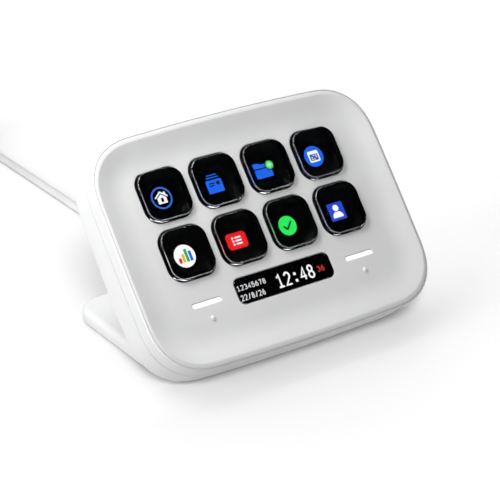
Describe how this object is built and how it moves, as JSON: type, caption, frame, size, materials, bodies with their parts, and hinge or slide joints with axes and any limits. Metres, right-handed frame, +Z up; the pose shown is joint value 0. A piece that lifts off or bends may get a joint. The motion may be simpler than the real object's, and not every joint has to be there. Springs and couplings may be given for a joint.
{
  "type": "display key desk keypad",
  "caption": "Tilted desk keypad with a dished face, display keys, an information strip, light bars, a flat foot and a captive lead.",
  "frame": {"origin": "on the desk under the middle of the keypad's own box, without its lead", "axes": "+X to the user's right, +Y away from the user along the desk, +Z up; the face looks towards -Y and +Z, 50 degrees from lying flat"},
  "size_m": [0.107, 0.2612, 0.0695],
  "materials": {
    "shell_white": "fine satin",
    "screw_steel": "plain",
    "weight_steel": "rolled",
    "pad_rubber": "matte",
    "guide_black": "matte",
    "membrane_rubber": "matte",
    "key_clear": "polished clear",
    "display_black": "smooth",
    "backlight_white": "plain",
    "lens_black": "polished",
    "board_green": "solder mask",
    "light_bar": "milky, lit",
    "chip_black": "moulded",
    "ribbon_amber": "smooth",
    "cord_white": "satin",
    "tie_black": "matte",
    "plug_white": "satin",
    "plug_metal": "bright"
  },
  "bodies": {
    "base": {"front_bezel": "shell_white", "mid_frame": "shell_white", "rear_shell": "shell_white", "case_screws": "screw_steel", "foot": "shell_white", "foot_weight": "weight_steel", "foot_pad": "pad_rubber", "foot_screws": "screw_steel", "key_guide": "guide_black", "key_membrane": "membrane_rubber", "lcd_panel": "display_black", "lcd_backlight": "backlight_white", "lcd_tray": "guide_black", "strip_lens": "lens_black", "strip_display": "display_black", "strip_board": "board_green", "light_guides": "light_bar", "touch_boards": "board_green", "main_board": "board_green", "board_parts": "chip_black", "board_screws": "screw_steel", "lcd_ribbon": "ribbon_amber", "strip_ribbon": "ribbon_amber", "strain_relief": "cord_white", "cord_tube": "cord_white", "cord_coil": "cord_white", "cord_tie": "tie_black", "cord_tail": "cord_white", "plug_body": "plug_white", "plug_shell": "plug_metal"},
    "key_1_body": {"key_1": "key_clear"},
    "key_2_body": {"key_2": "key_clear"},
    "key_3_body": {"key_3": "key_clear"},
    "key_4_body": {"key_4": "key_clear"},
    "key_5_body": {"key_5": "key_clear"},
    "key_6_body": {"key_6": "key_clear"},
    "key_7_body": {"key_7": "key_clear"},
    "key_8_body": {"key_8": "key_clear"}
  },
  "joints": [
    {"name": "key_1_press", "type": "slide", "parent": "base", "child": "key_1_body", "axis": [0, 0.766, -0.6428], "range_m": [0, 0.00095], "stiffness_N_per_m": 600, "springref_m": -0.0005},
    {"name": "key_2_press", "type": "slide", "parent": "base", "child": "key_2_body", "axis": [0, 0.766, -0.6428], "range_m": [0, 0.00095], "stiffness_N_per_m": 600, "springref_m": -0.0005},
    {"name": "key_3_press", "type": "slide", "parent": "base", "child": "key_3_body", "axis": [0, 0.766, -0.6428], "range_m": [0, 0.00095], "stiffness_N_per_m": 600, "springref_m": -0.0005},
    {"name": "key_4_press", "type": "slide", "parent": "base", "child": "key_4_body", "axis": [0, 0.766, -0.6428], "range_m": [0, 0.00095], "stiffness_N_per_m": 600, "springref_m": -0.0005},
    {"name": "key_5_press", "type": "slide", "parent": "base", "child": "key_5_body", "axis": [0, 0.766, -0.6428], "range_m": [0, 0.00095], "stiffness_N_per_m": 600, "springref_m": -0.0005},
    {"name": "key_6_press", "type": "slide", "parent": "base", "child": "key_6_body", "axis": [0, 0.766, -0.6428], "range_m": [0, 0.00095], "stiffness_N_per_m": 600, "springref_m": -0.0005},
    {"name": "key_7_press", "type": "slide", "parent": "base", "child": "key_7_body", "axis": [0, 0.766, -0.6428], "range_m": [0, 0.00095], "stiffness_N_per_m": 600, "springref_m": -0.0005},
    {"name": "key_8_press", "type": "slide", "parent": "base", "child": "key_8_body", "axis": [0, 0.766, -0.6428], "range_m": [0, 0.00095], "stiffness_N_per_m": 600, "springref_m": -0.0005}
  ]
}
